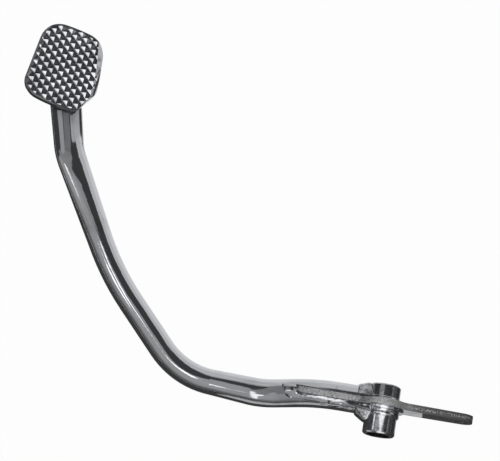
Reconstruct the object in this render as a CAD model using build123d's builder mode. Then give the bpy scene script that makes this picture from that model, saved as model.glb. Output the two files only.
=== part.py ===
from build123d import *
import os
from math import cos, radians, sin, tan

# Rear brake pedal of a small motorcycle: a bent tube carries the foot pad, a slot in the tube's rear
# end holds the lever plate, and the plate holds the pivot boss. Sizes are in millimetres; the origin is
# the middle of the pivot bore, +X points rearward, +Y outboard along the bore and +Z up.

# Pivot boss
BOSS_R = 10.0
BORE_R = 7.05
BOSS_LENGTH = 31.0
BOSS_CHAMFER = 0.8

# Lever plate
PLATE_THICK = 4.5
PLATE_OFFSET = 3.4
PLATE_FIT = 0.1
EYE_R = 15.5
TONGUE_REACH = 55.0
TONGUE_HEIGHT = 15.6
TONGUE_CORNER_R = 4.0
TAIL_ROOT_HEIGHT = 18.0
ROD_REACH = 49.0
ROD_HOLE_R = 3.5
ROD_EYE_WALL = 3.6
EYE_BLEND_R = 6.0

# Foot pad
PAD_CENTRE = (-229.6, 168.8, 60.0)
PAD_TILT_REAR = 21.9
PAD_TILT_OUT = 6.2
PAD_TURN = -3.0
PAD_SHEET = 3.2
PAD_FRONT = 20.9
PAD_FRONT_LEAN = 0.8
PAD_REAR = 24.4
PAD_REAR_LEAN = 4.9
PAD_OUTER_END = 27.6
PAD_INNER_END = 25.4
PAD_INNER_RISE = 2.0
PAD_END_BOW = 1.9
PAD_CUT_CORNER_X = 15.0
PAD_CUT_CORNER_Y = -6.5
PAD_OUTER_CORNER_R = 14.0
PAD_INNER_CORNER_R = 12.0
PAD_CUT_UPPER_R = 11.0
PAD_CUT_LOWER_R = 2.5
PAD_FRONT_ROLL_R = 0.4
PAD_REAR_ROLL_R = 3.8
PAD_FRONT_FLAT = 18.0
PAD_REAR_FLAT = 17.4
PAD_REACH = 40.0

# Tread
TREAD_PITCH = 4.58
TREAD_LAND = 0.5
TREAD_DEPTH = 1.5
TREAD_TURN = 4.8
TREAD_SHIFT_X = -0.56
TREAD_SHIFT_Y = 0.2
TREAD_HALF_ANGLE = 42.4
TREAD_MARGIN = 1.0
TREAD_ROWS = 17
TREAD_RUN = 80.0
TREAD_OVERCUT = 0.12

# Arm tube
TUBE_R = 8.0
TUBE_WALL = 2.0
ARM_OFFSET = 4.3
REAR_END_X = -5.0
JOG_REAR_X = -40.0
JOG_FRONT = (-75.0, -2.2, 0.0)
LOWER_BEND = (-128.0, 0.4, 0.0)
MIDDLE_BEND = (-179.0, 51.6, 25.0)
PAD_RUN_TURN = 20.5
PAD_RUN_SIDE = 1.7
PAD_RUN_BEHIND = 52.3
PAD_RUN_AHEAD = 15.0
PAD_RUN_GAP = 0.1
JOG_REAR_R = 149.0
JOG_FRONT_R = 60.0
LOWER_BEND_R = 48.0
MIDDLE_BEND_R = 173.0
UPPER_BEND_R = 30.0

# Sections of the tube: opened out over the slot, flattened in the upper bend and further under the pad
SLOTTED_R = 8.8
BEND_WIDTH = 19.0
FLAT_WIDTH = 22.0
FLAT_HEIGHT = 12.0
CHANGE_STEPS = 2

# Slot in the tube's rear end
SLOT_FRONT_X = -57.0
SLOT_FRONT_WIDTH = 9.0
SLOT_REAR_WIDTH = 5.6
SLOT_CUT = 24.0
BOSS_GAP = 0.3

# Weld beads
SLOT_BEAD_TOP = 6.4
SLOT_BEAD_DEPTH = 2.4
RING_INNER_LEG = 4.0
RING_OUTER_LEG = 2.6
RING_ARC = 236.0
BEAD_CROWN = 0.35
CHEEK_RUN = 6.4
CHEEK_NOSE = 0.7
CHEEK_INNER_LEG = 4.5
CHEEK_OUTER_LEG = 2.6
CHEEK_ROOT = 7.0
CHEEK_HEIGHT = 8.4
PAD_BEAD_LEG = 2.6
PAD_BEAD_DEPTH = 6.0
PAD_BEAD_ROOT = 2.0
PAD_BEAD_BEHIND = 8.0
PAD_BEAD_AHEAD = 12.0

os.makedirs("parts", exist_ok=True)

plate_inner_y = PLATE_OFFSET - PLATE_THICK / 2
plate_outer_y = PLATE_OFFSET + PLATE_THICK / 2
boss_end_y = BOSS_LENGTH / 2
rod_eye_r = ROD_HOLE_R + ROD_EYE_WALL


def turned(plane, angle):
    """The same plane, its axes turned about its own normal."""
    across = plane.x_dir * cos(radians(angle)) + plane.y_dir * sin(radians(angle))
    return Plane(origin=plane.origin, x_dir=across, z_dir=plane.z_dir)


# The pad's own plane is its top face, with x rearward across the pad and y outboard along it.
pad_up = Vector(tan(radians(PAD_TILT_REAR)), tan(radians(PAD_TILT_OUT)), 1).normalized()
pad_across = pad_up.cross(Vector(1, 0, 0)).cross(pad_up)
pad_plane = turned(Plane(origin=PAD_CENTRE, x_dir=pad_across, z_dir=pad_up), PAD_TURN)

# The tube's last run lies against the pad's underside, to one side and turned from the pad's length.
seat_drop = PAD_SHEET + PAD_RUN_GAP + FLAT_HEIGHT / 2
seat_middle = pad_plane.from_local_coords((PAD_RUN_SIDE, 0, -seat_drop))
seat_plane = turned(Plane(origin=seat_middle, x_dir=pad_plane.x_dir, z_dir=pad_plane.z_dir), PAD_RUN_TURN)


def ease(share):
    """Smooth rise from 0 to 1."""
    return share * share * (3 - 2 * share)


def slot_outline():
    """Plan of the slot: round at its front end, one straight side along the plate, narrowing rearward."""
    outer_side = plate_outer_y + PLATE_FIT
    with BuildSketch(mode=Mode.PRIVATE) as outline:
        with Locations((SLOT_FRONT_X, outer_side - SLOT_FRONT_WIDTH / 2)):
            Circle(SLOT_FRONT_WIDTH / 2)
        with Locations((0, outer_side - SLOT_REAR_WIDTH / 2)):
            Circle(SLOT_REAR_WIDTH / 2)
        make_hull()
    return outline.sketch


def pad_outline(margin):
    """Plan of the pad, drawn inside its edge by the margin."""
    outer = PAD_OUTER_END - margin
    inner = -PAD_INNER_END + margin
    inner_front = inner + PAD_INNER_RISE
    front_outer = -PAD_FRONT + PAD_FRONT_LEAN + margin
    front_inner = -PAD_FRONT - PAD_FRONT_LEAN + margin
    rear = PAD_REAR - margin
    rear_outer = rear - PAD_REAR_LEAN
    cut_x = PAD_CUT_CORNER_X - margin / 2
    rounds = [
        ((front_outer, outer), PAD_OUTER_CORNER_R - margin),
        ((rear_outer, outer), PAD_OUTER_CORNER_R - margin),
        ((rear, PAD_CUT_CORNER_Y), PAD_CUT_UPPER_R - margin),
        ((cut_x, inner), PAD_CUT_LOWER_R - margin),
        ((front_inner, inner_front), PAD_INNER_CORNER_R - margin),
    ]
    with BuildSketch(mode=Mode.PRIVATE) as outline:
        with BuildLine():
            Line((front_inner, inner_front), (front_outer, outer))
            ThreePointArc(
                (front_outer, outer), ((front_outer + rear_outer) / 2, outer + PAD_END_BOW), (rear_outer, outer)
            )
            Polyline((rear_outer, outer), (rear, PAD_CUT_CORNER_Y), (cut_x, inner))
            ThreePointArc(
                (cut_x, inner),
                ((front_inner + cut_x) / 2, (inner + inner_front) / 2 - PAD_END_BOW),
                (front_inner, inner_front),
            )
        make_face()
        for corner, radius in rounds:
            fillet(outline.vertices().sort_by_distance(corner)[0], radius)
    return outline.sketch


def groove_field(angle):
    """One family of V grooves across the tread, kept inside the pad's plain margin."""
    run = (pad_plane.x_dir * cos(radians(angle)) + pad_plane.y_dir * sin(radians(angle))).normalized()
    tread_middle = pad_plane.from_local_coords((TREAD_SHIFT_X, TREAD_SHIFT_Y, 0))
    groove_plane = Plane(origin=tread_middle, x_dir=pad_plane.z_dir.cross(run), z_dir=run)
    half_width = (TREAD_PITCH - TREAD_LAND) / 2
    top_half = half_width * (1 + TREAD_OVERCUT / TREAD_DEPTH)
    with BuildPart() as field:
        with BuildSketch(groove_plane):
            with GridLocations(TREAD_PITCH, TREAD_PITCH, TREAD_ROWS, 1):
                Polygon((-top_half, TREAD_OVERCUT), (0, -TREAD_DEPTH), (top_half, TREAD_OVERCUT), align=None)
        extrude(amount=TREAD_RUN / 2, both=True)
        with BuildSketch(pad_plane):
            add(pad_outline(TREAD_MARGIN))
        extrude(amount=PAD_REACH, both=True, mode=Mode.INTERSECT)
    return field.part


# Pivot boss: turned sleeve, chamfered outside at both ends.
with BuildPart() as pivot_boss:
    with BuildSketch(Plane.XZ.offset(-boss_end_y)):
        Circle(BOSS_R)
        Circle(BORE_R, mode=Mode.SUBTRACT)
    extrude(amount=BOSS_LENGTH)
    chamfer(pivot_boss.edges().filter_by(GeomType.CIRCLE).group_by(SortBy.RADIUS)[-1], BOSS_CHAMFER)


# Lever plate: flat bar with a round eye for the boss and a tapering tail for the brake rod.
with BuildPart() as lever_plate:
    with BuildSketch(Plane.XZ.offset(-plate_outer_y)) as bar:
        with Locations((-TONGUE_REACH / 2, 0)):
            Rectangle(TONGUE_REACH, TONGUE_HEIGHT)
        with BuildLine():
            Polyline(
                (0, TAIL_ROOT_HEIGHT / 2),
                (ROD_REACH, rod_eye_r),
                (ROD_REACH, -rod_eye_r),
                (0, -TAIL_ROOT_HEIGHT / 2),
                close=True,
            )
        make_face()
        with Locations((ROD_REACH, 0)):
            Circle(rod_eye_r)
        fillet(bar.vertices().sort_by(Axis.X)[:2], TONGUE_CORNER_R)
        Circle(EYE_R)
        fillet(bar.vertices().filter_by_position(Axis.X, -EYE_R, EYE_R), EYE_BLEND_R)
        with Locations((ROD_REACH, 0)):
            Circle(ROD_HOLE_R, mode=Mode.SUBTRACT)
        Circle(BOSS_R + PLATE_FIT, mode=Mode.SUBTRACT)
    extrude(amount=PLATE_THICK)


# Foot pad: one pressed sheet, its front and rear margins rolled down, its ends cut to a bowed outline.
pad_section = Plane(origin=PAD_CENTRE, x_dir=pad_plane.x_dir, z_dir=-pad_plane.y_dir)
front_roll = PAD_FRONT_ROLL_R + PAD_SHEET
rear_roll = PAD_REAR_ROLL_R + PAD_SHEET
tread_grooves = [groove_field(TREAD_TURN + TREAD_HALF_ANGLE), groove_field(TREAD_TURN - TREAD_HALF_ANGLE)]
with BuildPart() as foot_pad:
    with BuildSketch(pad_section):
        with BuildLine():
            CenterArc((-PAD_FRONT_FLAT, -front_roll), front_roll, 180, -90)
            Line((-PAD_FRONT_FLAT, 0), (PAD_REAR_FLAT, 0))
            CenterArc((PAD_REAR_FLAT, -rear_roll), rear_roll, 90, -90)
            Line((PAD_REAR_FLAT + rear_roll, -rear_roll), (PAD_REAR_FLAT + PAD_REAR_ROLL_R, -rear_roll))
            CenterArc((PAD_REAR_FLAT, -rear_roll), PAD_REAR_ROLL_R, 0, 90)
            Line((PAD_REAR_FLAT, -PAD_SHEET), (-PAD_FRONT_FLAT, -PAD_SHEET))
            CenterArc((-PAD_FRONT_FLAT, -front_roll), PAD_FRONT_ROLL_R, 90, 90)
            Line((-PAD_FRONT_FLAT - PAD_FRONT_ROLL_R, -front_roll), (-PAD_FRONT_FLAT - front_roll, -front_roll))
        make_face()
    extrude(amount=PAD_REACH, both=True)
    with BuildSketch(pad_plane):
        add(pad_outline(0))
    extrude(amount=PAD_REACH, both=True, mode=Mode.INTERSECT)
    for grooves in tread_grooves:
        add(grooves, mode=Mode.SUBTRACT)


# Arm tube: drawn along straight runs and bends, opened out over the slot that takes the lever plate,
# round in the middle and flattened under the pad. A bend keeps one section; it changes on straight runs.
with BuildLine() as arm_line:
    FilletPolyline(
        (REAR_END_X, ARM_OFFSET, 0),
        (JOG_REAR_X, ARM_OFFSET, 0),
        JOG_FRONT,
        LOWER_BEND,
        MIDDLE_BEND,
        seat_plane.from_local_coords((0, -PAD_RUN_BEHIND, 0)),
        seat_plane.from_local_coords((0, PAD_RUN_AHEAD, 0)),
        radius=[JOG_REAR_R, JOG_FRONT_R, LOWER_BEND_R, MIDDLE_BEND_R, UPPER_BEND_R],
    )
arm_runs = arm_line.wires()[0].edges()
rear_run, jog_rear, jog_run, jog_front, spread_run = arm_runs[:5]
lower, middle_run, middle, press_run, upper, pad_run = arm_runs[5:]

# The width of the flattened end lies along the pad, and is carried back around the upper bend.
bend_axis = Axis((0, 0, 0), (upper % 0).cross(upper % 1))
bend_side = seat_plane.x_dir.rotate(bend_axis, -(upper % 0).get_angle(upper % 1))
slotted_size = Vector(2 * SLOTTED_R, 2 * SLOTTED_R)
round_size = Vector(2 * TUBE_R, 2 * TUBE_R)
bend_size = Vector(BEND_WIDTH, FLAT_HEIGHT)
flat_size = Vector(FLAT_WIDTH, FLAT_HEIGHT)


def tube_round(run, radius):
    """Round face across the beginning of a run."""
    with BuildSketch(Plane(origin=run @ 0, z_dir=run % 0), mode=Mode.PRIVATE) as disc:
        Circle(radius)
    return disc.sketch


def tube_oval(run, share, side, size, wall):
    """Oval face across a run at a share of its length, its width to one side, inside its skin by the wall."""
    with BuildSketch(Plane(origin=run @ share, x_dir=side, z_dir=run % share), mode=Mode.PRIVATE) as oval:
        Ellipse(size.X / 2 - wall, size.Y / 2 - wall)
    return oval.sketch


def tube_change(run, side, first, last, wall):
    """Faces along a straight run, passing from the first section to the last."""
    shares = [step / CHANGE_STEPS for step in range(CHANGE_STEPS + 1)]
    return [tube_oval(run, share, side, first + (last - first) * ease(share), wall) for share in shares]


def tube_body(wall):
    """The whole length of the tube as a solid bar, inside its skin by the wall."""
    spread_side = Vector(0, 0, 1).cross(spread_run % 0)
    with BuildPart() as body:
        for run in (rear_run, jog_rear, jog_run, jog_front):
            sweep(tube_round(run, SLOTTED_R - wall), path=run)
        loft(tube_change(spread_run, spread_side, slotted_size, round_size, wall), ruled=True)
        for run in (lower, middle_run, middle):
            sweep(tube_round(run, TUBE_R - wall), path=run)
        loft(tube_change(press_run, bend_side, round_size, bend_size, wall), ruled=True)
        sweep(tube_oval(upper, 0, bend_side, bend_size, wall), path=upper)
        loft(tube_change(pad_run, seat_plane.x_dir, bend_size, flat_size, wall), ruled=True)
    return body.part


with BuildPart() as arm_tube:
    add(tube_body(0))
    add(tube_body(TUBE_WALL), mode=Mode.SUBTRACT)
    with BuildSketch():
        add(slot_outline())
    extrude(amount=SLOT_CUT, both=True, mode=Mode.SUBTRACT)
    with BuildSketch(Plane.XZ):
        Circle(BOSS_R + BOSS_GAP)
    extrude(amount=SLOT_CUT, both=True, mode=Mode.SUBTRACT)


# Slot welds: beads that fill the open side of the slot beside the plate, above and below.
def slot_bead(base_z):
    """Bead between the plate's inboard face and the edge of the slot, from base_z up."""
    with BuildPart() as bead:
        with BuildSketch(Plane.XY.offset(base_z)):
            add(slot_outline())
            with Locations((-TONGUE_REACH, plate_inner_y)):
                Rectangle(SLOT_CUT + TONGUE_REACH, SLOT_CUT, align=(Align.MIN, Align.MIN), mode=Mode.SUBTRACT)
        extrude(amount=SLOT_BEAD_DEPTH)
        with BuildSketch():
            Rectangle(SLOT_CUT, SLOT_CUT)
        extrude(amount=SLOT_CUT, both=True, mode=Mode.SUBTRACT)
    return bead


slot_weld_top = slot_bead(SLOT_BEAD_TOP - SLOT_BEAD_DEPTH)
slot_weld_bottom = slot_bead(-SLOT_BEAD_TOP)


# Boss welds: fillet beads around the boss on both faces of the plate, open where the tube comes in.
def ring_bead(face_y, leg, side):
    """Bead in the corner between the boss and one face of the plate; side is +1 outboard, -1 inboard."""
    start = radians(-RING_ARC / 2)
    section = Plane(origin=(0, 0, 0), x_dir=(cos(start), 0, -sin(start)), z_dir=(sin(start), 0, cos(start)))
    tip_y = face_y + side * leg
    with BuildPart() as bead:
        with BuildSketch(section):
            Polygon((BOSS_R, tip_y), (BOSS_R, face_y), (BOSS_R + leg, face_y), align=None)
        revolve(axis=Axis.Y, revolution_arc=RING_ARC)
    return bead


boss_weld_inner = ring_bead(plate_inner_y, RING_INNER_LEG, -1)
boss_weld_outer = ring_bead(plate_outer_y, RING_OUTER_LEG, 1)


# Cheek welds: flared beads that join the two halves of the slotted tube to the boss.
def cheek_bead(face_y, leg, side):
    """Flare between the tube and the boss, on one side of the plate."""
    tube_axis = Axis((0, ARM_OFFSET, 0), (1, 0, 0))
    begin_x = -BOSS_R - CHEEK_RUN
    skin_y = ARM_OFFSET + SLOTTED_R
    root_y = ARM_OFFSET + CHEEK_ROOT
    with BuildPart() as bead:
        with BuildSketch():
            with BuildLine():
                Polyline(
                    (begin_x, root_y),
                    (begin_x, skin_y + CHEEK_NOSE),
                    (-BOSS_R, skin_y + leg),
                    (0, skin_y + leg),
                    (0, root_y),
                    close=True,
                )
            make_face()
        revolve(axis=tube_axis)
        with BuildSketch(Plane.XZ.offset(-face_y)):
            Rectangle(2 * BOSS_LENGTH, 2 * CHEEK_HEIGHT)
        extrude(amount=-side * BOSS_LENGTH, mode=Mode.INTERSECT)
        with BuildSketch(Plane.XZ):
            Circle(BOSS_R)
        extrude(amount=BOSS_LENGTH, both=True, mode=Mode.SUBTRACT)
        add(arm_tube.part, mode=Mode.SUBTRACT)
        add(slot_weld_top.part, mode=Mode.SUBTRACT)
        add(slot_weld_bottom.part, mode=Mode.SUBTRACT)
    return bead


cheek_weld_inner = cheek_bead(plate_inner_y, CHEEK_INNER_LEG, -1)
cheek_weld_outer = cheek_bead(plate_outer_y, CHEEK_OUTER_LEG, 1)


# Pad welds: beads in the two corners between the flattened tube and the pad's underside.
def pad_bead(side):
    """Bead along one side of the tube; side is +1 rearward, -1 forward."""
    begin = seat_plane.from_local_coords((0, -PAD_BEAD_BEHIND, 0))
    section = Plane(origin=begin, x_dir=seat_plane.x_dir, z_dir=-seat_plane.y_dir)
    top = FLAT_HEIGHT / 2 + PAD_RUN_GAP
    root_x = side * (FLAT_WIDTH / 2 - PAD_BEAD_ROOT)
    toe_x = side * (FLAT_WIDTH / 2 + PAD_BEAD_LEG)
    middle = ((root_x + toe_x) / 2 + side * BEAD_CROWN, top - PAD_BEAD_DEPTH / 2 - BEAD_CROWN)
    with BuildPart() as bead:
        with BuildSketch(section):
            Polygon((root_x, top - PAD_BEAD_DEPTH), (root_x, top), (toe_x, top), middle, align=None)
            Ellipse(FLAT_WIDTH / 2 + PAD_RUN_GAP, FLAT_HEIGHT / 2 + PAD_RUN_GAP, mode=Mode.SUBTRACT)
        extrude(amount=-(PAD_BEAD_BEHIND + PAD_BEAD_AHEAD))
    return bead


pad_weld_front = pad_bead(-1)
pad_weld_rear = pad_bead(1)


pivot_boss.part.label = "pivot_boss"
lever_plate.part.label = "lever_plate"
foot_pad.part.label = "foot_pad"
arm_tube.part.label = "arm_tube"
slot_weld_top.part.label = "slot_weld_top"
slot_weld_bottom.part.label = "slot_weld_bottom"
boss_weld_inner.part.label = "boss_weld_inner"
boss_weld_outer.part.label = "boss_weld_outer"
cheek_weld_inner.part.label = "cheek_weld_inner"
cheek_weld_outer.part.label = "cheek_weld_outer"
pad_weld_front.part.label = "pad_weld_front"
pad_weld_rear.part.label = "pad_weld_rear"

export_step(pivot_boss.part, "parts/pivot_boss.step")
export_step(lever_plate.part, "parts/lever_plate.step")
export_step(foot_pad.part, "parts/foot_pad.step")
export_step(arm_tube.part, "parts/arm_tube.step")
export_step(slot_weld_top.part, "parts/slot_weld_top.step")
export_step(slot_weld_bottom.part, "parts/slot_weld_bottom.step")
export_step(boss_weld_inner.part, "parts/boss_weld_inner.step")
export_step(boss_weld_outer.part, "parts/boss_weld_outer.step")
export_step(cheek_weld_inner.part, "parts/cheek_weld_inner.step")
export_step(cheek_weld_outer.part, "parts/cheek_weld_outer.step")
export_step(pad_weld_front.part, "parts/pad_weld_front.step")
export_step(pad_weld_rear.part, "parts/pad_weld_rear.step")
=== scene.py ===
from math import cos, pi, radians, sin

import bpy
from mathutils import Matrix, Vector


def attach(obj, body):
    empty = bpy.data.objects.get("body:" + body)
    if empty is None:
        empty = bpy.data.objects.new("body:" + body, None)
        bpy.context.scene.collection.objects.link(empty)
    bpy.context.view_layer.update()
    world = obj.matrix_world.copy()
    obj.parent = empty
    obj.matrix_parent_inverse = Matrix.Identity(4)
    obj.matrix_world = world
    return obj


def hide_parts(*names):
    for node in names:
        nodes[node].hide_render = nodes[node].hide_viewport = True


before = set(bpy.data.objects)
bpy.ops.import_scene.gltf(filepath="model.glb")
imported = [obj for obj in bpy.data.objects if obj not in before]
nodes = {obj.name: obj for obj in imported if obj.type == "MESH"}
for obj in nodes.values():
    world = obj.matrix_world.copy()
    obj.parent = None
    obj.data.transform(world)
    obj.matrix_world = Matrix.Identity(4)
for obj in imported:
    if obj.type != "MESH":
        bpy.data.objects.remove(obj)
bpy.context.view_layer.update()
bpy.ops.object.select_all(action="DESELECT")


# Pivot boss
# A turned steel sleeve that rocks on the pivot shaft, chromed with the rest after welding.
# The lathe leaves fine rings around it, which still show through the thin chrome.
class Value:
    """One number or colour inside a finish; arithmetic on numbers adds Math nodes."""

    def __init__(self, finish, socket):
        self.finish = finish
        self.socket = socket

    def math(self, operation, first, second=0.0):
        return self.finish.node("ShaderNodeMath", {"operation": operation}, {0: first, 1: second})

    def __add__(self, other):
        return self.math("ADD", self, other)

    def __radd__(self, other):
        return self.math("ADD", other, self)

    def __sub__(self, other):
        return self.math("SUBTRACT", self, other)

    def __rsub__(self, other):
        return self.math("SUBTRACT", other, self)

    def __abs__(self):
        return self.math("ABSOLUTE", self)

    def __mul__(self, other):
        return self.math("MULTIPLY", self, other)

    def __rmul__(self, other):
        return self.math("MULTIPLY", other, self)

    def held(self, low, high):
        """The share of the way from low to high, kept between 0 and 1."""
        return self.finish.node(
            "ShaderNodeMapRange",
            {"interpolation_type": "SMOOTHSTEP"},
            {"Value": self, "From Min": low, "From Max": high},
        )


class Finish:
    """A material made from nodes around one surface shader."""

    def __init__(self, name):
        self.material = bpy.data.materials.new(name)
        self.material.use_nodes = True
        self.tree = self.material.node_tree
        self.shader = self.tree.nodes["Principled BSDF"]
        self.place = self.node("ShaderNodeTexCoord", {}, {}, "Object")

    def node(self, kind, settings, sockets, output=0):
        made = self.tree.nodes.new(kind)
        for name, value in settings.items():
            setattr(made, name, value)
        for name, value in sockets.items():
            self.feed(made.inputs[name], value)
        return Value(self, made.outputs[output])

    def feed(self, socket, value):
        if isinstance(value, Value):
            self.tree.links.new(value.socket, socket)
        else:
            socket.default_value = value

    def noise(self, cells, detail=2.0, stretch=(1.0, 1.0, 1.0)):
        """Soft noise over the piece, with so many cells a metre, stretched along its axes."""
        place = self.node("ShaderNodeMapping", {}, {"Vector": self.place, "Scale": stretch})
        return self.node("ShaderNodeTexNoise", {}, {"Vector": place, "Scale": cells, "Detail": detail})

    def lined(self, direction, cells, stretch):
        """Noise drawn out along one direction, as polishing leaves it."""
        turn = Vector((1.0, 0.0, 0.0)).rotation_difference(Vector(direction)).to_euler()
        place = self.node(
            "ShaderNodeMapping",
            {"vector_type": "TEXTURE"},
            {"Vector": self.place, "Rotation": turn, "Scale": (stretch, 1.0, 1.0)},
        )
        return self.node("ShaderNodeTexNoise", {}, {"Vector": place, "Scale": cells})

    def along(self, direction, start=(0.0, 0.0, 0.0)):
        """How far a point lies from a start along a direction, in metres."""
        offset = self.node("ShaderNodeVectorMath", {"operation": "SUBTRACT"}, {0: self.place, 1: start})
        unit = Vector(direction).normalized()
        return self.node("ShaderNodeVectorMath", {"operation": "DOT_PRODUCT"}, {0: offset, 1: unit}, 1)

    def reach(self, middle, radii):
        """Distance from a middle point, 1 at the radii."""
        scale = [1.0 / radius for radius in radii]
        shift = [-place / radius for place, radius in zip(middle, radii)]
        place = self.node("ShaderNodeMapping", {}, {"Vector": self.place, "Location": shift, "Scale": scale})
        return self.node("ShaderNodeVectorMath", {"operation": "LENGTH"}, {0: place}, 1)

    def blend(self, share, first, second):
        """A colour between two colours."""
        return self.node("ShaderNodeMix", {"data_type": "RGBA"}, {"Factor": share, 6: first, 7: second}, 2)

    def surface(self, colour, roughness, height):
        """Makes the metal from its colour, its roughness and its height in metres."""
        normal = self.node("ShaderNodeBump", {}, {"Height": height, "Distance": 1.0})
        self.shader.inputs["Metallic"].default_value = 1.0
        self.feed(self.shader.inputs["Base Color"], colour)
        self.feed(self.shader.inputs["Roughness"], roughness)
        self.feed(self.shader.inputs["Normal"], normal)

    def wear(self, piece):
        """Puts the finish on a piece."""
        piece.data.materials.clear()
        piece.data.materials.append(self.material)


CHROME = (0.52, 0.53, 0.55, 1.0)
CHROME_DULL = (0.36, 0.365, 0.38, 1.0)
# Dark colour for real grime in pits and pores, and also for painted shade in the plate's seams and the
# tread's grooves.
GRIME_AND_SHADE = (0.05, 0.05, 0.052, 1.0)
HAZE_DETAIL = 4.0
HAZE_LEVELS = (0.4, 0.7)
BOSS_ROUGHNESS = 0.1
BOSS_HAZE_CELLS = 70.0
BOSS_HAZE_ROUGHNESS = 0.14
LATHE_RING_CELLS = 900.0
LATHE_RING_STRETCH = (0.02, 1.0, 0.02)
LATHE_RING_HEIGHT = 0.000004
PIT_CELLS = 500.0
PIT_LEVELS = (0.48, 0.7)
PIT_DIRT = 0.45
PIT_HEIGHT = 0.000025


def hazed_chrome(finish, haze, levels=HAZE_LEVELS):
    """Chrome that is dull where the haze is strong."""
    return finish.blend(haze.held(*levels), CHROME, CHROME_DULL)


turned = Finish("turned_chrome")
haze = turned.noise(BOSS_HAZE_CELLS, HAZE_DETAIL)
rings = turned.noise(LATHE_RING_CELLS, stretch=LATHE_RING_STRETCH)
pits = turned.noise(PIT_CELLS)
turned.surface(
    turned.blend(PIT_DIRT * pits.held(*PIT_LEVELS), hazed_chrome(turned, haze), GRIME_AND_SHADE),
    BOSS_ROUGHNESS + BOSS_HAZE_ROUGHNESS * haze,
    LATHE_RING_HEIGHT * rings + PIT_HEIGHT * pits,
)
turned.wear(nodes["pivot_boss"])


# Lever plate
# A bar sheared from flat stock, pushed through the slot of the tube and around the boss.
# Its faces are polished and its sheared edges stay coarse and grey under the chrome. Painted on the edges:
# shade darkening them toward the tail, shadow lines along the seams and a glint on the burr.
PLATE_MIDDLE_Y = 0.0034
PLATE_HALF = 0.00225
EDGE_GREY = (0.60, 0.60, 0.61, 1.0)
TAIL_SHADE_AND_GRAIN_GREY = (0.20, 0.20, 0.205, 1.0)
BURR_GLINT = (0.85, 0.85, 0.86, 1.0)
FACE_DEPTH = 0.00002
EDGE_DEPTH = 0.0001
FACE_ROUGHNESS = 0.12
EDGE_ROUGHNESS = 0.38
PLATE_HAZE_CELLS = 90.0
PLATE_HAZE_ROUGHNESS = 0.12
GRAIN_CELLS = 1100.0
GRAIN_LEVELS = (0.42, 0.62)
GRAIN_GREY = 0.6
GRAIN_HEIGHT = 0.00003
SEAM_SHADOW_BAND = (0.0017, 0.002)
SEAM_SHADOW_FADE = (0.004, -0.008)
TAIL_FADE = (0.008, 0.022)
BURR_BAND = (0.0012, 0.0003)
BURR_LEVELS = (0.48, 0.6)
BURR_SHINE = 0.2
BURR_HEIGHT = 0.00008

sheared = Finish("sheared_chrome")
haze = sheared.noise(PLATE_HAZE_CELLS, HAZE_DETAIL)
grain = sheared.noise(GRAIN_CELLS, detail=3.0)
side = abs(sheared.along((0.0, 1.0, 0.0), (0.0, PLATE_MIDDLE_Y, 0.0)))
rearward = sheared.along((1.0, 0.0, 0.0))
edge = side.held(PLATE_HALF - FACE_DEPTH, PLATE_HALF - EDGE_DEPTH)
# Painted shadow: the edge goes dark along its margins toward the tube, as shadow lines where it meets the
# slot.
seam_shadow = edge * side.held(*SEAM_SHADOW_BAND) * rearward.held(*SEAM_SHADOW_FADE)
tail = rearward.held(*TAIL_FADE)
burr = tail * side.held(*BURR_BAND) * grain.held(*BURR_LEVELS)
# Painted shade: the sheared edge grows darker toward the tail; the same dark grey also mottles the grain.
sheared_edge = sheared.blend(tail, EDGE_GREY, TAIL_SHADE_AND_GRAIN_GREY)
sheared_edge = sheared.blend(GRAIN_GREY * grain.held(*GRAIN_LEVELS), sheared_edge, TAIL_SHADE_AND_GRAIN_GREY)
# Real burnished burr line near the tail, given a brighter colour as a painted glint.
sheared_edge = sheared.blend(burr, sheared_edge, BURR_GLINT)
sheared.surface(
    sheared.blend(seam_shadow, sheared.blend(edge, hazed_chrome(sheared, haze), sheared_edge), GRIME_AND_SHADE),
    FACE_ROUGHNESS + PLATE_HAZE_ROUGHNESS * haze + edge * (EDGE_ROUGHNESS - BURR_SHINE * burr),
    GRAIN_HEIGHT * grain + BURR_HEIGHT * burr,
)
sheared.wear(nodes["lever_plate"])


# Arm tube
# Steel tube bent cold, pressed flat toward the pad, with two ridges along its flattened top, and pinched
# where the slot begins. It is polished along its length by hand, so the chrome is a little wavy.
REAR_RUN = (1.0, 0.0, 0.0)
MIDDLE_RUN = (-0.66, 0.67, 0.33)
PAD_RUN = (-0.279, 0.960, 0.008)
PAD_RUN_START = (-0.2169, 0.1175, 0.0504)
PAD_RUN_SIDE = (0.886, 0.261, -0.384)
LOWER_BEND = (0.118, 0.138)
UPPER_BEND = (0.108, 0.128)
ARM_ROUGHNESS = 0.05
ARM_HAZE_CELLS = 45.0
ARM_HAZE_LEVELS = (0.5, 0.8)
ARM_HAZE_ROUGHNESS = 0.09
WAVE_CELLS = 60.0
WAVE_HEIGHT = 0.00022
PEEL_CELLS = 420.0
PEEL_HEIGHT = 0.00001
POLISH_CELLS = 600.0
POLISH_STRETCH = 22.0
POLISH_LEVELS = (0.55, 0.75)
POLISH_DULLNESS = 0.5
POLISH_HEIGHT = 0.000035
RIDGE_SPACING = 0.0041
RIDGE_HALF = 0.0018
RIDGE_FADE = (0.112, 0.130)
RIDGE_HEIGHT = 0.00015
PINCH_MIDDLE = (-0.0645, -0.005, 0.0088)
PINCH_RADII = (0.0095, 0.009, 0.02)
PINCH_DEPTH = 0.0006

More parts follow.
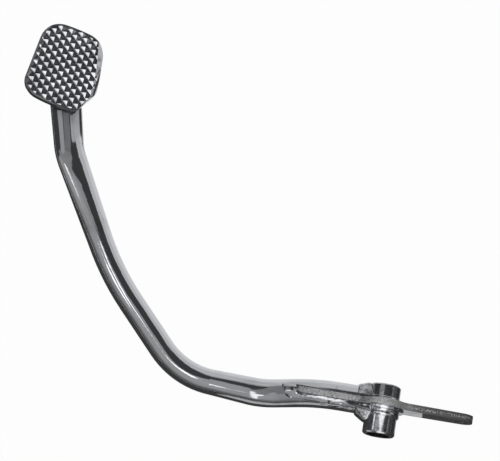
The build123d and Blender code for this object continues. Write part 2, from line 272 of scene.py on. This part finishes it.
polished = Finish("polished_chrome")
haze = polished.noise(ARM_HAZE_CELLS, HAZE_DETAIL)
waves = polished.noise(WAVE_CELLS, detail=1.0)
peel = polished.noise(PEEL_CELLS)
past_lower = polished.along((-1.0, 0.0, 0.0)).held(*LOWER_BEND)
outward = polished.along((0.0, 1.0, 0.0))
past_upper = outward.held(*UPPER_BEND)
rear_lines = polished.lined(REAR_RUN, POLISH_CELLS, POLISH_STRETCH)
middle_lines = polished.lined(MIDDLE_RUN, POLISH_CELLS, POLISH_STRETCH)
pad_lines = polished.lined(PAD_RUN, POLISH_CELLS, POLISH_STRETCH)
rear_and_middle = rear_lines * (1.0 - past_lower) + middle_lines * past_lower * (1.0 - past_upper)
lines = rear_and_middle + pad_lines * past_upper
across = polished.along(PAD_RUN_SIDE, PAD_RUN_START)
ridge_front = abs(across + RIDGE_SPACING).held(RIDGE_HALF, 0.0)
ridge_rear = abs(across).held(RIDGE_HALF, 0.0)
ridges = (ridge_front + ridge_rear) * outward.held(*RIDGE_FADE)
pinch = polished.reach(PINCH_MIDDLE, PINCH_RADII).held(1.0, 0.0)
dullness = haze.held(*ARM_HAZE_LEVELS) + POLISH_DULLNESS * lines.held(*POLISH_LEVELS)
skin = WAVE_HEIGHT * waves + PEEL_HEIGHT * peel + POLISH_HEIGHT * lines
polished.surface(
    polished.blend(dullness, CHROME, CHROME_DULL),
    ARM_ROUGHNESS + ARM_HAZE_ROUGHNESS * haze,
    skin + RIDGE_HEIGHT * ridges - PINCH_DEPTH * pinch,
)
polished.wear(nodes["arm_tube"])


# Boss welds
# Ring beads between the boss and both faces of the plate, open toward the tube: a hollow root pass with
# two round passes over it, smoothed by hand before plating.
BOSS_R = 0.010
PLATE_INNER_Y = PLATE_MIDDLE_Y - PLATE_HALF
PLATE_OUTER_Y = PLATE_MIDDLE_Y + PLATE_HALF
INBOARD = -1
OUTBOARD = 1
RING_ARC = radians(256.0)
RING_STEPS = 64
RING_SINK = 0.0004
RING_CELL = 0.00025
RING_ROUNDS = 30
ROOT_SIDES = 40
PASS_SIDES = 24
PASS_ANGLES = (radians(22.0), radians(68.0))
PASS_SHARE = 0.2
TOUCH = 1e-6
RING_ROUGHNESS = 0.07
RING_HAZE_CELLS = 120.0
RING_HAZE_ROUGHNESS = 0.1
RIPPLE_CELLS = 150.0
RIPPLE_HEIGHT = 0.00008

rippled = Finish("weld_chrome_finish")
haze = rippled.noise(RING_HAZE_CELLS, HAZE_DETAIL)
ripples = rippled.noise(RIPPLE_CELLS, detail=1.0)
rippled.surface(
    hazed_chrome(rippled, haze),
    RING_ROUGHNESS + RING_HAZE_ROUGHNESS * haze,
    RIPPLE_HEIGHT * ripples,
)


def spin_around_boss():
    """Turns the flat profile at hand into a closed ring bead around the boss."""
    bpy.ops.object.mode_set(mode="EDIT")
    bpy.ops.mesh.select_all(action="SELECT")
    bpy.ops.transform.rotate(value=-RING_ARC / 2, orient_axis="Y", center_override=(0.0, 0.0, 0.0))
    bpy.ops.mesh.spin(steps=RING_STEPS, angle=RING_ARC, center=(0.0, 0.0, 0.0), axis=(0.0, 1.0, 0.0))
    bpy.ops.mesh.select_all(action="SELECT")
    bpy.ops.mesh.fill_holes(sides=0)
    bpy.ops.mesh.normals_make_consistent(inside=False)
    bpy.ops.object.mode_set(mode="OBJECT")


def root_pass(face_y, leg, side):
    """Hollow fillet in the corner between the boss and one face of the plate."""
    middle_x = BOSS_R + leg
    middle_y = face_y + side * leg
    bpy.ops.mesh.primitive_circle_add(vertices=ROOT_SIDES, radius=leg, location=(middle_x, middle_y, 0.0))
    bead = bpy.context.object
    bpy.ops.object.transform_apply(location=True, rotation=True, scale=True)
    bpy.ops.object.mode_set(mode="EDIT")
    bpy.ops.mesh.select_mode(type="VERT")
    bpy.ops.mesh.select_all(action="DESELECT")
    bpy.ops.object.mode_set(mode="OBJECT")
    for vertex in bead.data.vertices:
        hollow = vertex.co.x < middle_x + TOUCH and side * (vertex.co.y - face_y) < leg + TOUCH
        vertex.select = not hollow
    bpy.ops.object.mode_set(mode="EDIT")
    bpy.ops.mesh.delete(type="VERT")
    bpy.ops.mesh.select_all(action="DESELECT")
    bpy.ops.object.mode_set(mode="OBJECT")
    toe = max(bead.data.vertices, key=lambda vertex: vertex.co.x)
    toe.select = True
    to_root = (BOSS_R - RING_SINK - toe.co.x, face_y - side * RING_SINK - toe.co.y, 0.0)
    bpy.ops.object.mode_set(mode="EDIT")
    bpy.ops.mesh.extrude_region_move(TRANSFORM_OT_translate={"value": to_root})
    bpy.ops.object.mode_set(mode="OBJECT")
    for vertex in bead.data.vertices:
        at_tip = abs(vertex.co.x - BOSS_R) < TOUCH and abs(vertex.co.y - middle_y) < TOUCH
        vertex.select = vertex.select or at_tip
    bpy.ops.object.mode_set(mode="EDIT")
    bpy.ops.mesh.edge_face_add()
    bpy.ops.object.mode_set(mode="OBJECT")
    spin_around_boss()
    return bead


def round_pass(face_y, leg, side, angle):
    """Round bead that lies on the hollow of the root pass."""
    place = (BOSS_R + leg - leg * cos(angle), face_y + side * (leg - leg * sin(angle)), 0.0)
    bpy.ops.mesh.primitive_circle_add(vertices=PASS_SIDES, radius=PASS_SHARE * leg, location=place)
    bead = bpy.context.object
    bpy.ops.object.transform_apply(location=True, rotation=True, scale=True)
    spin_around_boss()
    return bead


def run_together(bead, cell, rounds):
    """Melts the passes of a bead into one skin."""
    cells = bead.modifiers.new("cells", "REMESH")
    cells.mode = "VOXEL"
    cells.voxel_size = cell
    run = bead.modifiers.new("run", "SMOOTH")
    run.factor = 0.5
    run.iterations = rounds
    bpy.ops.object.modifier_apply(modifier="cells")
    bpy.ops.object.modifier_apply(modifier="run")


def finish_bead(bead, node, chrome):
    """Chromes a bead and puts it in the place of the plain one."""
    bpy.ops.object.shade_smooth()
    chrome.wear(bead)
    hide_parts(node)
    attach(bead, "root")


def ring_bead(node, face_y, side, leg, climb):
    """All passes around the boss on one face of the plate; climb stretches them up the boss."""
    bpy.ops.object.select_all(action="DESELECT")
    bead = root_pass(face_y, leg, side)
    bead.name = node + "_metal"
    passes = [round_pass(face_y, leg, side, angle) for angle in PASS_ANGLES]
    bpy.ops.object.select_all(action="DESELECT")
    for piece in passes:
        piece.select_set(True)
    bead.select_set(True)
    bpy.context.view_layer.objects.active = bead
    bpy.ops.object.join()
    bpy.ops.object.mode_set(mode="EDIT")
    bpy.ops.mesh.select_all(action="SELECT")
    bpy.ops.transform.resize(value=(1.0, climb, 1.0), center_override=(0.0, face_y, 0.0))
    bpy.ops.object.mode_set(mode="OBJECT")
    run_together(bead, RING_CELL, RING_ROUNDS)
    finish_bead(bead, node, rippled)


ring_bead("boss_weld_inner", PLATE_INNER_Y, INBOARD, leg=0.0044, climb=1.5)
ring_bead("boss_weld_outer", PLATE_OUTER_Y, OUTBOARD, leg=0.0026, climb=1.0)


# Slot, cheek and pad welds
# Beads laid by hand along the slot, between the tube's halves and the boss, and under the pad, left
# unground and chromed over: their corners run together and their skin is a little lumpy.
BEAD_CELL = 0.0004
CAP_SIDES = 24
SEAM_MERGE = 0.00001
INNER_SLOPE = ((-0.013, PLATE_INNER_Y, 0.0086), (-0.10, -0.35, 0.93))
OUTER_SLOPE = ((-0.013, PLATE_OUTER_Y, 0.0092), (0.0, 0.42, 0.90))
TOP_CAPS = (
    ((-0.0605, 0.0008, 0.0026), (-0.013, 0.0011, 0.0031), 0.0050, 0.0044),
    ((-0.0630, 0.0016, 0.0033), (-0.0540, 0.0030, 0.0033), 0.0053, 0.0053),
)
BOTTOM_CAPS = (((-0.0605, 0.0008, -0.0026), (-0.013, 0.0011, -0.0031), 0.0050, 0.0044),)
INNER_CAPS = (((-0.0235, 0.0004, 0.0060), (-0.0065, -0.0006, 0.0118), 0.0005, 0.0026),)
BEAD_ROUGHNESS = 0.14
BEAD_HAZE_CELLS = 140.0
BEAD_HAZE_LEVELS = (0.3, 0.55)
BEAD_HAZE_ROUGHNESS = 0.16
PORE_CELLS = 420.0
PORE_LEVELS = (0.42, 0.7)
PORE_DIRT = 0.5
PORE_HEIGHT = 0.00002
SPATTER_CELLS = 230.0
SPATTER_HEIGHT = 0.00012

spattered = Finish("spattered_chrome")
haze = spattered.noise(BEAD_HAZE_CELLS, HAZE_DETAIL)
pores = spattered.noise(PORE_CELLS, detail=3.0)
spatter = spattered.noise(SPATTER_CELLS)
bead_chrome = hazed_chrome(spattered, haze, BEAD_HAZE_LEVELS)
spattered.surface(
    spattered.blend(PORE_DIRT * pores.held(*PORE_LEVELS), bead_chrome, GRIME_AND_SHADE),
    BEAD_ROUGHNESS + BEAD_HAZE_ROUGHNESS * haze,
    SPATTER_HEIGHT * spatter + PORE_HEIGHT * pores,
)


def merged_copy(node, name, cuts=()):
    """A new piece with the mesh of a CAD node, its seams merged, cut off above planes (point, normal)."""
    bpy.ops.object.select_all(action="DESELECT")
    piece = bpy.data.objects.new(name, nodes[node].data.copy())
    bpy.context.scene.collection.objects.link(piece)
    piece.select_set(True)
    bpy.context.view_layer.objects.active = piece
    bpy.ops.object.mode_set(mode="EDIT")
    bpy.ops.mesh.select_all(action="SELECT")
    bpy.ops.mesh.remove_doubles(threshold=SEAM_MERGE)
    bpy.ops.mesh.customdata_custom_splitnormals_clear()
    for point, normal in cuts:
        bpy.ops.mesh.select_all(action="SELECT")
        bpy.ops.mesh.bisect(plane_co=point, plane_no=normal, use_fill=True, clear_outer=True)
    bpy.ops.object.mode_set(mode="OBJECT")
    return piece


def add_cap(bead, begin, end, begin_r, end_r):
    """Joins a round stretch of weld metal to a bead."""
    way = Vector(end) - Vector(begin)
    bpy.ops.mesh.primitive_cone_add(
        vertices=CAP_SIDES,
        radius1=begin_r,
        radius2=end_r,
        depth=way.length,
        location=(Vector(begin) + Vector(end)) / 2,
        rotation=way.to_track_quat("Z", "Y").to_euler(),
    )
    bead.select_set(True)
    bpy.context.view_layer.objects.active = bead
    bpy.ops.object.join()


def laid_bead(node, chrome, rounds, swell, lump, lump_size, cuts=(), caps=()):
    """Weld metal in the place of a plain bead, with sloping cuts or round caps (ends, radii)."""
    bead = merged_copy(node, node + "_metal", cuts)
    for cap in caps:
        add_cap(bead, *cap)
    run_together(bead, BEAD_CELL, rounds)
    stand = bead.modifiers.new("stand", "DISPLACE")
    stand.mid_level = 0.0
    stand.strength = swell
    cloud = bpy.data.textures.new(node + "_lumps", "CLOUDS")
    cloud.noise_scale = lump_size
    cloud.noise_depth = 1
    rough = bead.modifiers.new("rough", "DISPLACE")
    rough.texture = cloud
    rough.texture_coords = "LOCAL"
    rough.mid_level = 0.5
    rough.strength = lump
    bpy.ops.object.modifier_apply(modifier="stand")
    bpy.ops.object.modifier_apply(modifier="rough")
    finish_bead(bead, node, chrome)


laid_bead("slot_weld_top", rippled, rounds=8, swell=0.0001, lump=0.0005, lump_size=0.004, caps=TOP_CAPS)
laid_bead(
    "slot_weld_bottom", rippled, rounds=8, swell=0.0001, lump=0.0002, lump_size=0.005, caps=BOTTOM_CAPS
)
laid_bead(
    "cheek_weld_inner",
    spattered,
    rounds=8,
    swell=0.0003,
    lump=0.0008,
    lump_size=0.005,
    cuts=(INNER_SLOPE,),
    caps=INNER_CAPS,
)
laid_bead(
    "cheek_weld_outer", spattered, rounds=10, swell=0.0003, lump=0.0006, lump_size=0.005, cuts=(OUTER_SLOPE,)
)
for pad_weld in ("pad_weld_front", "pad_weld_rear"):
    laid_bead(pad_weld, spattered, rounds=8, swell=0.0003, lump=0.0005, lump_size=0.003)


# Foot pad
# One pressed sheet with a tread of small pyramids, bevelled along its front and rolled down at its rear.
# The bottoms of the grooves are darkened as painted shade, with random specks of dirt in them.
PAD_MIDDLE = (-0.2296, 0.1688, 0.0600)
PAD_UP = (0.3710, 0.1003, 0.9230)
PAD_ACROSS = (0.927, -0.092, -0.363)
PAD_REAR_SIDE = (0.925, 0.050, -0.377)
FRONT_BEVEL_START = 0.0166
FRONT_BEVEL_LEAN = radians(21.0)
REAR_BEVEL_START = 0.0188
REAR_BEVEL_LEAN = radians(25.0)
CREASE = radians(25.0)
FRONT_MARGIN = (-0.0180, -0.0172)
REAR_MARGIN = (0.0172, 0.0162)
GROOVE_DEPTHS = (-0.0009, -0.00145)
GROOVE_SHADE = 0.4
GROOVE_ROUGHNESS = 0.2
TREAD_ROUGHNESS = 0.1
TREAD_HAZE_CELLS = 80.0
TREAD_HAZE_LEVELS = (0.45, 0.75)
TREAD_HAZE_ROUGHNESS = 0.12
SPECK_CELLS = 700.0
SPECK_LEVELS = (0.4, 0.6)
SPECK_DIRT = 0.3
SPECK_HEIGHT = 0.00002

tread = Finish("tread_chrome")
haze = tread.noise(TREAD_HAZE_CELLS, HAZE_DETAIL)
specks = tread.noise(SPECK_CELLS)
width = tread.along(PAD_ACROSS, PAD_MIDDLE)
flat = width.held(*FRONT_MARGIN) * width.held(*REAR_MARGIN)
groove = tread.along(PAD_UP, PAD_MIDDLE).held(*GROOVE_DEPTHS) * flat
# Painted shade: darker toward the bottoms of the grooves, with random specks of real dirt there.
groove_shade_and_dirt = groove * (GROOVE_SHADE + SPECK_DIRT * specks.held(*SPECK_LEVELS))
tread.surface(
    tread.blend(groove_shade_and_dirt, hazed_chrome(tread, haze, TREAD_HAZE_LEVELS), GRIME_AND_SHADE),
    TREAD_ROUGHNESS + TREAD_HAZE_ROUGHNESS * haze + GROOVE_ROUGHNESS * groove,
    SPECK_HEIGHT * specks,
)


def bevel(outward, start, lean):
    """A slanting cut (point, normal) along one side of the pad, from a distance outward of its middle."""
    point = Vector(PAD_MIDDLE) + start * outward
    normal = cos(lean) * Vector(PAD_UP) + sin(lean) * outward
    return point, normal


front_bevel = bevel(-Vector(PAD_ACROSS), FRONT_BEVEL_START, FRONT_BEVEL_LEAN)
rear_bevel = bevel(Vector(PAD_REAR_SIDE), REAR_BEVEL_START, REAR_BEVEL_LEAN)
sheet = merged_copy("foot_pad", "foot_pad_sheet", (front_bevel, rear_bevel))
bpy.ops.object.shade_smooth_by_angle(angle=CREASE)
tread.wear(sheet)
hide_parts("foot_pad")
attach(sheet, "root")


# Studio
# A white paper floor in a pale room, three soft lamps, and cards that show only in the metal: a ceiling,
# floor edges including a painted shadow of the arm, dark, white and graded walls, and small ones close to the
# welds, the bends and the pad.
FLOOR_SIZE = 6.0
FLOOR_Z = -0.0165
PAPER = (0.8, 0.8, 0.8, 1.0)
PAPER_ROUGHNESS = 0.9
PAPER_GLOW = 0.97
ROOM_WHITE = (1.0, 1.0, 1.0, 1.0)
ROOM_STRENGTH = 0.5

bpy.ops.mesh.primitive_plane_add(size=FLOOR_SIZE, location=(0.0, 0.0, FLOOR_Z))
floor = bpy.context.object
floor.name = "floor"
paper = Finish("white_paper")
paper.shader.inputs["Base Color"].default_value = PAPER
paper.shader.inputs["Roughness"].default_value = PAPER_ROUGHNESS
paper.shader.inputs["Specular IOR Level"].default_value = 0.0
seen = (
    paper.node("ShaderNodeLightPath", {}, {}, "Is Camera Ray")
    + paper.node("ShaderNodeLightPath", {}, {}, "Is Glossy Ray")
    + paper.node("ShaderNodeLightPath", {}, {}, "Is Transmission Ray")
).held(0.0, 1.0)
white = paper.node("ShaderNodeEmission", {}, {"Strength": 1.0})
shaded = Value(paper, paper.shader.outputs[0])
mixed = paper.node("ShaderNodeMixShader", {}, {0: PAPER_GLOW * seen, 1: shaded, 2: white})
paper.feed(paper.tree.nodes["Material Output"].inputs["Surface"], mixed)
paper.wear(floor)

world = bpy.data.worlds.new("pale_room")
bpy.context.scene.world = world
world.use_nodes = True
room = world.node_tree.nodes["Background"]
room.inputs["Color"].default_value = ROOM_WHITE
room.inputs["Strength"].default_value = ROOM_STRENGTH


def lamp(name, place, target, width, length, glow):
    """A soft lamp that faces a point; glow is how bright its front looks."""
    box = bpy.data.lights.new(name, "AREA")
    box.shape = "RECTANGLE"
    box.size = width
    box.size_y = length
    box.energy = glow * pi * width * length
    stand = bpy.data.objects.new(name, box)
    bpy.context.scene.collection.objects.link(stand)
    facing = (Vector(target) - Vector(place)).to_track_quat("-Z", "Y").to_matrix()
    stand.matrix_world = Matrix.Translation(place) @ facing.to_4x4()


LAMP_Z = 1.0
lamp("lamp_over_pad", (-0.56, -0.18, LAMP_Z), (-0.2, 0.1, 0.0), width=0.3, length=0.3, glow=1.4)
lamp("lamp_over_arm", (-0.42, -0.64, LAMP_Z), (-0.15, 0.05, 0.0), width=0.2, length=0.2, glow=1.8)
lamp("lamp_over_bend", (-0.09, -0.36, LAMP_Z), (-0.1, 0.0, 0.0), width=0.12, length=0.25, glow=1.8)

LEAST_RISE = 0.001


def card(name, low, high, corners):
    """A flat card seen only in the metal; low and high are how bright its foot and its top look."""
    bpy.ops.mesh.primitive_circle_add(vertices=len(corners), fill_type="NGON")
    board = bpy.context.object
    board.name = name
    for vertex, corner in zip(board.data.vertices, corners):
        vertex.co = corner
    shine = Finish(name)
    heights = [corner[2] for corner in corners]
    rise = shine.along((0.0, 0.0, 1.0)).held(min(heights), max(heights) + LEAST_RISE)
    shine.shader.inputs["Base Color"].default_value = (0.0, 0.0, 0.0, 1.0)
    shine.shader.inputs["Specular IOR Level"].default_value = 0.0
    shine.shader.inputs["Emission Strength"].default_value = 1.0
    glow = shine.blend(rise, (low, low, low, 1.0), (high, high, high, 1.0))
    shine.feed(shine.shader.inputs["Emission Color"], glow)
    shine.wear(board)
    board.visible_camera = False
    board.visible_shadow = False
    board.visible_diffuse = False


def level_card(name, glow, height, corners):
    """A card that lies level at one height."""
    card(name, glow, glow, [(*corner, height) for corner in corners])


def wall(name, low, high, start, end, foot, top):
    """An upright card between two points of the floor."""
    card(name, low, high, ((*start, foot), (*end, foot), (*end, top), (*start, top)))


DARK = 0.07
WHITE = 0.78
BRIGHT = 1.8
GRADED = (0.1, 0.5)

ROOM_FRONT = -2.2
ROOM_REAR = 2.2
ROOM_INBOARD = -2.2
ROOM_OUTER = 1.6
CEILING_Z = 1.2
WHITE_WALL_TOP = 1.4
GRADED_WALL_TOP = 1.6
DARK_FRONT_X = -1.2
DARK_FRONT_TOP = 1.7
FOOT = -0.01
level_card(
    "dark_ceiling",
    DARK,
    CEILING_Z,
    ((0.05, -0.24), (1.8, -0.1), (1.8, 1.6), (0.3, 1.3), (-0.6, 0.85)),
)
level_card(
    "grey_ceiling_front",
    0.2,
    CEILING_Z,
    ((-0.62, 0.85), (-0.42, 0.95), (-0.42, 1.6), (-0.9, 1.6), (-0.9, 0.85)),
)
wall("dark_wall_rear", DARK, DARK, (ROOM_REAR, -1.8), (ROOM_REAR, 0.6), FOOT, CEILING_Z)
wall("white_wall_rear", WHITE, WHITE, (ROOM_REAR, 0.6), (ROOM_REAR, 2.2), FOOT, WHITE_WALL_TOP)
wall("white_wall_outer", WHITE, WHITE, (-0.5, ROOM_OUTER), (ROOM_REAR, ROOM_OUTER), FOOT, WHITE_WALL_TOP)
wall("dark_wall_outer", DARK, DARK, (ROOM_FRONT, ROOM_OUTER), (-0.5, ROOM_OUTER), FOOT, WHITE_WALL_TOP)
wall("dark_wall_front", DARK, DARK, (DARK_FRONT_X, 1.2), (DARK_FRONT_X, -0.25), FOOT, DARK_FRONT_TOP)
wall("graded_wall_front", *GRADED, (ROOM_FRONT, ROOM_OUTER), (ROOM_FRONT, -0.8), FOOT, GRADED_WALL_TOP)
wall("graded_wall_corner", *GRADED, (ROOM_FRONT, -0.8), (-0.9, ROOM_INBOARD), FOOT, GRADED_WALL_TOP)
wall("graded_wall_inboard", *GRADED, (-0.9, ROOM_INBOARD), (1.4, ROOM_INBOARD), FOOT, GRADED_WALL_TOP)

FLOOR_CARD_Z = -0.016
FLOOR_CARD_LIFT = 0.0004
# Painted shadow of the arm on the floor: a dark card along the arm's path, seen only in the metal.
level_card(
    "arm_shadow_floor",
    DARK,
    FLOOR_CARD_Z,
    (
        (-0.9, -0.9),
        (0.009, -0.9),
        (0.009, 0.012),
        (-0.06, 0.004),
        (-0.128, -0.004),
        (-0.205, 0.075),
        (-0.225, 0.13),
        (-0.23, 0.2),
        (-0.23, 0.6),
        (-0.9, 0.6),
    ),
)
level_card(
    "dark_floor_rear",
    DARK,
    FLOOR_CARD_Z,
    ((0.009, -0.9), (0.9, -0.9), (0.9, 0.3), (0.026, 0.1), (0.026, -0.009), (0.009, -0.009)),
)
level_card(
    "grey_floor_tail",
    0.6,
    FLOOR_CARD_Z,
    ((0.0092, -0.0088), (0.0258, -0.0088), (0.0258, 0.1), (0.0092, 0.1)),
)
level_card(
    "light_floor_inboard",
    0.7,
    FLOOR_CARD_Z + FLOOR_CARD_LIFT,
    ((-0.13, -0.3), (0.0, -0.3), (0.0, -0.045), (-0.11, -0.045)),
)

NEAR_Z = 0.06
UNDER_NEAR_Z = 0.059
OVER_BEAD_Z = 0.03
RING_CARD_Y = -0.07
RING_CARD_FOOT = 0.01
BOSS_CARD_X = -0.03
BOSS_CARD_FOOT = 0.012
BOSS_CARD_TOP = 0.043
level_card(
    "fan_over_boss", BRIGHT, NEAR_Z, ((0.006, -0.0075), (0.012, -0.0075), (0.030, 0.008), (-0.022, 0.008))
)
level_card(
    "card_over_ring",
    BRIGHT,
    NEAR_Z,
    ((-0.014, RING_CARD_Y), (0.03, RING_CARD_Y), (0.03, -0.008), (-0.014, -0.008)),
)
level_card(
    "strip_over_bead",
    1.6,
    OVER_BEAD_Z,
    ((-0.046, -0.009), (-0.022, -0.009), (-0.022, 0.005), (-0.046, 0.005)),
)
wall("card_beside_ring", BRIGHT, BRIGHT, (-0.008, RING_CARD_Y), (0.03, RING_CARD_Y), RING_CARD_FOOT, NEAR_Z)
level_card("strip_over_boss", 0.7, NEAR_Z, ((-0.014, 0.005), (-0.005, 0.005), (-0.005, 0.03), (-0.014, 0.03)))
level_card(
    "card_over_jog",
    BRIGHT,
    NEAR_Z,
    (
        (-0.087, -0.12),
        (-0.079, -0.12),
        (-0.078, -0.045),
        (-0.071, -0.040),
        (-0.071, -0.004),
        (-0.080, -0.012),
        (-0.086, -0.035),
    ),
)
level_card(
    "card_over_slot",
    0.32,
    UNDER_NEAR_Z,
    ((-0.081, -0.03), (-0.062, -0.03), (-0.062, 0.06), (-0.074, 0.06), (-0.081, 0.0)),
)

OVER_PAD_RUN_Z = 0.116
OVER_BEND_Z = 0.115
OVER_RUN_Z = 0.113
level_card(
    "card_over_pad_run",
    0.28,
    OVER_PAD_RUN_Z,
    ((-0.200, 0.196), (-0.222, 0.186), (-0.224, 0.118), (-0.188, 0.126)),
)
level_card(
    "card_over_bend",
    0.37,
    OVER_BEND_Z,
    (
        (-0.285, 0.082),
        (-0.215, 0.082),
        (-0.183, 0.118),
        (-0.186, 0.128),
        (-0.215, 0.120),
        (-0.235, 0.108),
        (-0.285, 0.108),
    ),
)
level_card(
    "card_over_run", 0.42, OVER_RUN_Z, ((-0.203, 0.095), (-0.190, 0.062), (-0.166, 0.062), (-0.177, 0.100))
)

PAD_CARD_START = (-0.149, 0.177)
PAD_CARD_MIDDLE = (-0.157, 0.1915)
PAD_CARD_END = (-0.1645, 0.2045)
PAD_CARD_FOOT = 0.045
PAD_CARD_TOP = 0.125
wall("grey_card_pad", 0.49, 0.49, PAD_CARD_MIDDLE, PAD_CARD_END, PAD_CARD_FOOT, PAD_CARD_TOP)
wall("light_card_pad", 0.64, 0.64, PAD_CARD_START, PAD_CARD_MIDDLE, PAD_CARD_FOOT, PAD_CARD_TOP)
wall("dark_card_pad", DARK, DARK, PAD_CARD_START, PAD_CARD_END, FOOT, PAD_CARD_FOOT)
wall("dark_card_boss", DARK, DARK, (BOSS_CARD_X, -0.03), (BOSS_CARD_X, 0.04), BOSS_CARD_FOOT, BOSS_CARD_TOP)


# Camera
# It stands where the photograph was taken from: above the pedal, a little behind its inboard side.
AZIMUTH = radians(15.73)
ELEVATION = radians(72.45)
ROLL = radians(-5.77)
CAMERA_PLACE = (-0.0287, -0.1562, 0.8464)
FOCAL_LENGTH_MM = 98.71
SENSOR_WIDTH_MM = 36.0
CLIP_START = 0.01
back = Vector((sin(AZIMUTH) * cos(ELEVATION), -cos(AZIMUTH) * cos(ELEVATION), sin(ELEVATION)))
level = Vector((cos(AZIMUTH), sin(AZIMUTH), 0.0))
rise = back.cross(level)
right = cos(ROLL) * level + sin(ROLL) * rise
up = cos(ROLL) * rise - sin(ROLL) * level
lens = bpy.data.cameras.new("camera")
lens.lens = FOCAL_LENGTH_MM
lens.sensor_width = SENSOR_WIDTH_MM
lens.clip_start = CLIP_START
viewer = bpy.data.objects.new("camera", lens)
bpy.context.scene.collection.objects.link(viewer)
viewer.matrix_world = Matrix.Translation(CAMERA_PLACE) @ Matrix((right, up, back)).transposed().to_4x4()
bpy.context.scene.camera = viewer
bpy.context.scene.view_settings.view_transform = "Standard"
